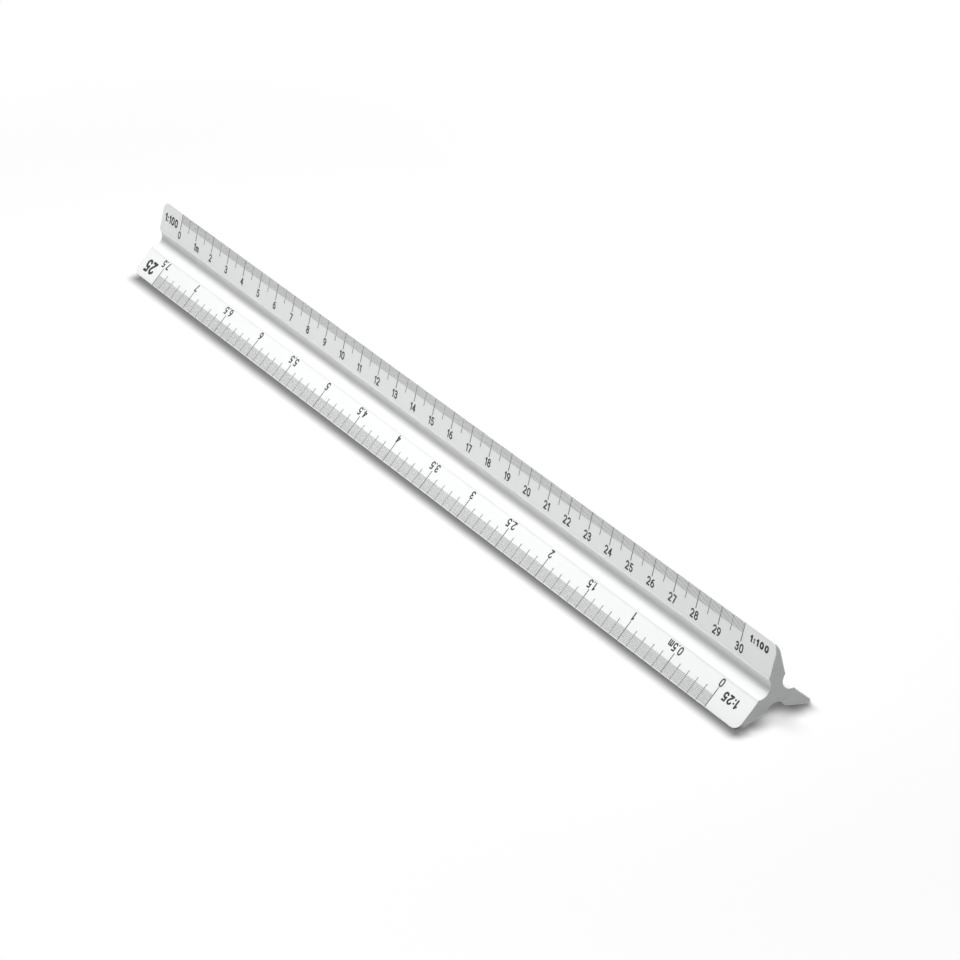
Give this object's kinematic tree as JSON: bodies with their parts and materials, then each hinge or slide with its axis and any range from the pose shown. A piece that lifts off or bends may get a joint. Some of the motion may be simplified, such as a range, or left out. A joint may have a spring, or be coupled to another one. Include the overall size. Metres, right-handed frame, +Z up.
{
  "type": "scale ruler",
  "caption": "Triangular winged scale ruler: a fluted, white lacquered metal bar with white printed facings that carry graduations in drawing ratios.",
  "frame": {"origin": "on the surface the ruler lies on, under the middle of its length and midway between the two lower tip edges", "axes": "+X along the ruler towards the end seen close in the picture, +Z up along the upright wing, -Y towards the front wing"},
  "size_m": [0.326, 0.026, 0.0225],
  "materials": {
    "core": "white lacquer, bare sawn ends",
    "facing": "satin",
    "ink": "printed matte"
  },
  "bodies": {
    "root": {"core_extrusion": "core", "facing_100": "facing", "facing_25": "facing", "facing_20": "facing", "facing_50": "facing", "facing_75": "facing", "facing_125": "facing", "graduations_100": "ink", "graduations_25": "ink", "graduations_20": "ink", "graduations_50": "ink", "graduations_75": "ink", "graduations_125": "ink"}
  },
  "joints": []
}
